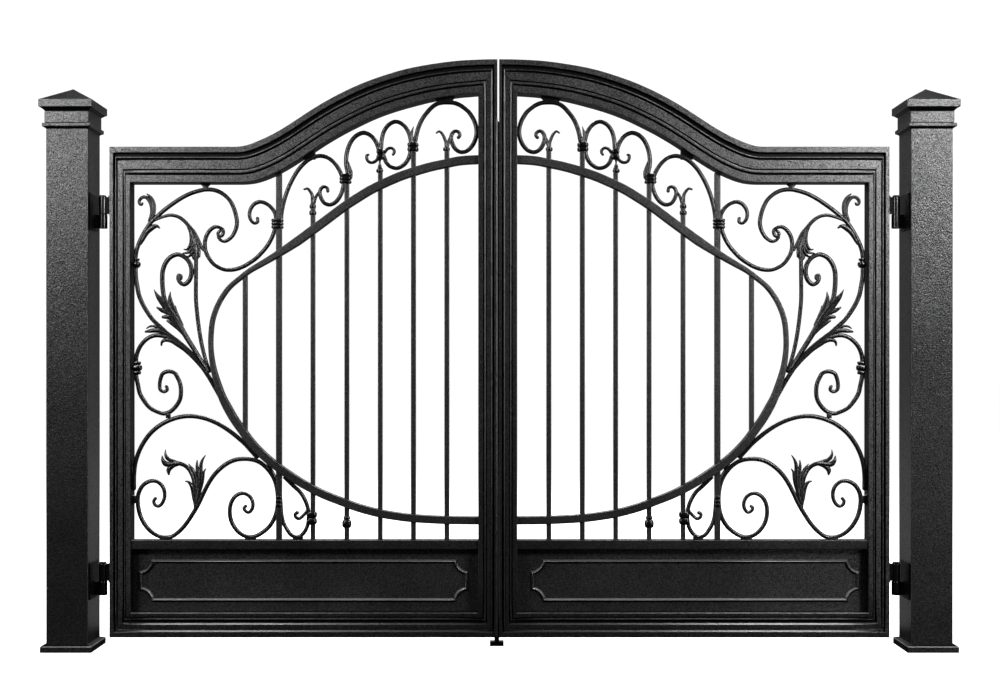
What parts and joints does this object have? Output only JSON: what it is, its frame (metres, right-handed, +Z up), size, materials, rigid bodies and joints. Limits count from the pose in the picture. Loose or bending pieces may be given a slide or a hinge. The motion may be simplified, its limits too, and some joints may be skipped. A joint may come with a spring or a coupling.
{
  "type": "double swing gate with posts",
  "caption": "Wrought double driveway gate: hinged leaves with a curved crown rail, scrolled and picketed infill and a kick panel, hung between square posts with pyramid caps.",
  "frame": {"origin": "middle of the underside of the left post's base, on the ground", "axes": "+X across the gateway to the right post, +Y inwards (away from the road side), +Z up"},
  "size_m": [3.354, 0.196, 2.1756],
  "materials": {
    "post_paint": "fine-textured black powder coat on box-section posts",
    "frame_paint": "fine-textured black powder coat on the moulded leaf frames",
    "ironwork_paint": "fine-textured black powder coat on scrolls, pickets and leaves",
    "hardware_paint": "smooth satin black paint on hinges and bolt"
  },
  "bodies": {
    "posts": {"left_post_shaft": "post_paint", "left_post_base": "post_paint", "left_post_collar": "post_paint", "left_post_cap": "post_paint", "right_post_shaft": "post_paint", "right_post_base": "post_paint", "right_post_collar": "post_paint", "right_post_cap": "post_paint", "left_upper_hinge_pintle": "hardware_paint", "left_lower_hinge_pintle": "hardware_paint", "right_upper_hinge_pintle": "hardware_paint", "right_lower_hinge_pintle": "hardware_paint", "ground_keeper": "hardware_paint"},
    "left_leaf": {"left_hinge_stile": "frame_paint", "left_meeting_stile": "frame_paint", "left_top_rail": "frame_paint", "left_bottom_rail": "frame_paint", "left_mid_rail": "frame_paint", "left_kick_panel": "frame_paint", "left_panel_bead": "frame_paint", "left_grille": "ironwork_paint", "left_crown_scrolls": "ironwork_paint", "left_upper_scrolls": "ironwork_paint", "left_lower_scrolls": "ironwork_paint", "left_leafwork": "ironwork_paint", "left_collars": "ironwork_paint", "left_upper_hinge_eye": "hardware_paint", "left_lower_hinge_eye": "hardware_paint", "left_meeting_strip": "frame_paint", "left_rod_guides": "hardware_paint"},
    "right_leaf": {"right_hinge_stile": "frame_paint", "right_meeting_stile": "frame_paint", "right_top_rail": "frame_paint", "right_bottom_rail": "frame_paint", "right_mid_rail": "frame_paint", "right_kick_panel": "frame_paint", "right_panel_bead": "frame_paint", "right_grille": "ironwork_paint", "right_crown_scrolls": "ironwork_paint", "right_upper_scrolls": "ironwork_paint", "right_lower_scrolls": "ironwork_paint", "right_leafwork": "ironwork_paint", "right_collars": "ironwork_paint", "right_upper_hinge_eye": "hardware_paint", "right_lower_hinge_eye": "hardware_paint"},
    "drop_rod": {"drop_rod": "hardware_paint"}
  },
  "joints": [
    {"name": "left_leaf_hinge", "type": "hinge", "parent": "posts", "child": "left_leaf", "pos_m": [0.11, 0, 0.9], "axis": [0, 0, 1], "range_deg": [0, 90]},
    {"name": "right_leaf_hinge", "type": "hinge", "parent": "posts", "child": "right_leaf", "pos_m": [3.048, 0, 0.9], "axis": [0, 0, -1], "range_deg": [0, 90]},
    {"name": "drop_rod_slide", "type": "slide", "parent": "left_leaf", "child": "drop_rod", "axis": [0, 0, 1], "range_m": [-0.012, 0.1]}
  ]
}
